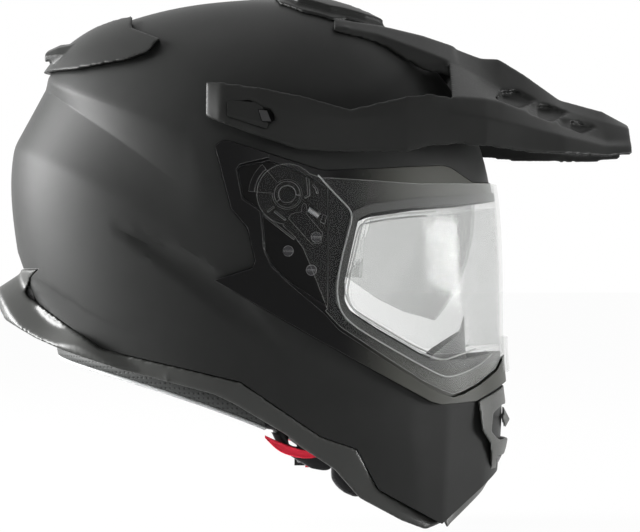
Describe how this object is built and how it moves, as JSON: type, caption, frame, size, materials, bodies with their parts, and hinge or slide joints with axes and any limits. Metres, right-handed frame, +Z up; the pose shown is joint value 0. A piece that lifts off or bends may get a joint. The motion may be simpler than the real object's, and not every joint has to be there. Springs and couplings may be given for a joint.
{
  "type": "dual sport helmet",
  "caption": "Full-face dual sport helmet with a removable peak, a clear pivoting visor, a drop-down sun visor, sliding vents and a padded lining.",
  "frame": {"origin": "where the axis of the visor's two pivots crosses the helmet's plane of symmetry", "axes": "+X towards the front of the helmet, +Y to the wearer's left, +Z up"},
  "size_m": [0.3843, 0.2532, 0.3225],
  "materials": {
    "shell_paint": "matte",
    "trim_plastic": "satin",
    "gloss_plastic": "gloss",
    "peak_plastic": "satin",
    "clear_visor": "gloss",
    "tinted_visor": "gloss",
    "gasket_rubber": "matte",
    "spring_steel": "satin",
    "screw_steel": "satin",
    "liner_foam": "matte",
    "pad_fabric": "matte",
    "red_tab": "matte",
    "webbing": "matte",
    "black_plastic": "matte",
    "red_plastic": "satin"
  },
  "bodies": {
    "helmet": {"outer_shell": "shell_paint", "base_trim": "trim_plastic", "eyeport_frame": "gloss_plastic", "eyeport_gasket": "gasket_rubber", "visor_base_plate_right": "gloss_plastic", "visor_base_plate_left": "gloss_plastic", "base_plate_screws": "screw_steel", "peak": "peak_plastic", "peak_screws": "screw_steel", "top_vent_housing": "trim_plastic", "rear_spoiler": "trim_plastic", "chin_vent_housing": "trim_plastic", "chin_vent_grille": "black_plastic", "impact_liner_crown": "liner_foam", "impact_liner_right": "liner_foam", "impact_liner_left": "liner_foam", "sun_visor_pins": "screw_steel", "chin_liner": "liner_foam", "breath_guard": "gasket_rubber", "chin_curtain": "pad_fabric", "crown_pad": "pad_fabric", "cheek_pad_right": "pad_fabric", "cheek_pad_left": "pad_fabric", "cheek_pad_tab_right": "red_tab", "cheek_pad_tab_left": "red_tab", "neck_roll": "pad_fabric", "chin_strap_right": "webbing", "chin_strap_left": "webbing", "strap_anchors": "screw_steel", "buckle_receiver": "black_plastic", "buckle_ladder": "black_plastic"},
    "visor": {"visor": "clear_visor", "fog_insert_lens": "clear_visor", "visor_tab": "clear_visor", "fog_insert_pins": "clear_visor"},
    "sun_visor": {"sun_visor": "tinted_visor"},
    "sun_visor_lever": {"sun_visor_lever": "black_plastic"},
    "detent_arm_right": {"detent_arm_right": "black_plastic", "detent_spring_right": "spring_steel"},
    "detent_arm_left": {"detent_arm_left": "black_plastic", "detent_spring_left": "spring_steel"},
    "release_lever_right": {"visor_release_lever_right": "black_plastic"},
    "release_lever_left": {"visor_release_lever_left": "black_plastic"},
    "side_cover_right": {"peak_side_cover_right": "peak_plastic"},
    "side_cover_left": {"peak_side_cover_left": "peak_plastic"},
    "latch_right": {"peak_latch_right": "black_plastic"},
    "latch_left": {"peak_latch_left": "black_plastic"},
    "top_vent_slider": {"top_vent_slider": "trim_plastic"},
    "chin_vent_slider": {"chin_vent_slider": "trim_plastic"},
    "buckle_lever": {"buckle_release_lever": "red_plastic"}
  },
  "joints": [
    {"name": "visor_hinge", "type": "hinge", "parent": "helmet", "child": "visor", "pos_m": [0, 0, 0], "axis": [0, -1, 0], "range_deg": [0, 35], "deforming": ["eyeport_gasket"]},
    {"name": "sun_visor_hinge", "type": "hinge", "parent": "helmet", "child": "sun_visor", "pos_m": [0.0038, 0, -0.0077], "axis": [0, -1, 0], "range_deg": [0, 40]},
    {"name": "sun_visor_lever_slide", "type": "slide", "parent": "helmet", "child": "sun_visor_lever", "axis": [0.9246, 0.03, -0.3797], "range_m": [0, 0.012]},
    {"name": "detent_arm_right_hinge", "type": "hinge", "parent": "helmet", "child": "detent_arm_right", "pos_m": [0.0167, -0.115, -0.0249], "axis": [0, 1, 0], "range_deg": [0, 4], "stiffness_Nm_per_rad": 0.3},
    {"name": "detent_arm_left_hinge", "type": "hinge", "parent": "helmet", "child": "detent_arm_left", "pos_m": [0.0167, 0.115, -0.0249], "axis": [0, 1, 0], "range_deg": [0, 4], "stiffness_Nm_per_rad": 0.3},
    {"name": "release_lever_right_hinge", "type": "hinge", "parent": "helmet", "child": "release_lever_right", "pos_m": [0, -0.1135, 0], "axis": [0, -1, 0], "range_deg": [0, 8], "stiffness_Nm_per_rad": 0.2},
    {"name": "release_lever_left_hinge", "type": "hinge", "parent": "helmet", "child": "release_lever_left", "pos_m": [0, 0.1135, 0], "axis": [0, -1, 0], "range_deg": [0, 8], "stiffness_Nm_per_rad": 0.2},
    {"name": "side_cover_right_slide", "type": "slide", "parent": "helmet", "child": "side_cover_right", "axis": [0, -1, 0], "range_m": [0, 0.008]},
    {"name": "side_cover_left_slide", "type": "slide", "parent": "helmet", "child": "side_cover_left", "axis": [0, 1, 0], "range_m": [0, 0.008]},
    {"name": "latch_right_slide", "type": "slide", "parent": "helmet", "child": "latch_right", "axis": [1, 0, 0], "range_m": [0, 0.002], "stiffness_N_per_m": 150},
    {"name": "latch_left_slide", "type": "slide", "parent": "helmet", "child": "latch_left", "axis": [1, 0, 0], "range_m": [0, 0.002], "stiffness_N_per_m": 150},
    {"name": "top_vent_slide", "type": "slide", "parent": "helmet", "child": "top_vent_slider", "axis": [-0.8904, 0, 0.4552], "range_m": [0, 0.006]},
    {"name": "chin_vent_slide", "type": "slide", "parent": "helmet", "child": "chin_vent_slider", "axis": [0.0995, 0, -0.995], "range_m": [0, 0.004]},
    {"name": "buckle_lever_hinge", "type": "hinge", "parent": "helmet", "child": "buckle_lever", "pos_m": [0.015, -0.007, -0.163], "axis": [-1, 0, 0], "range_deg": [0, 8], "stiffness_Nm_per_rad": 0.1}
  ],
  "couplings": [
    {"joint": "sun_visor_lever_slide", "follows": "sun_visor_hinge", "m_per_rad": 0.0171}
  ]
}
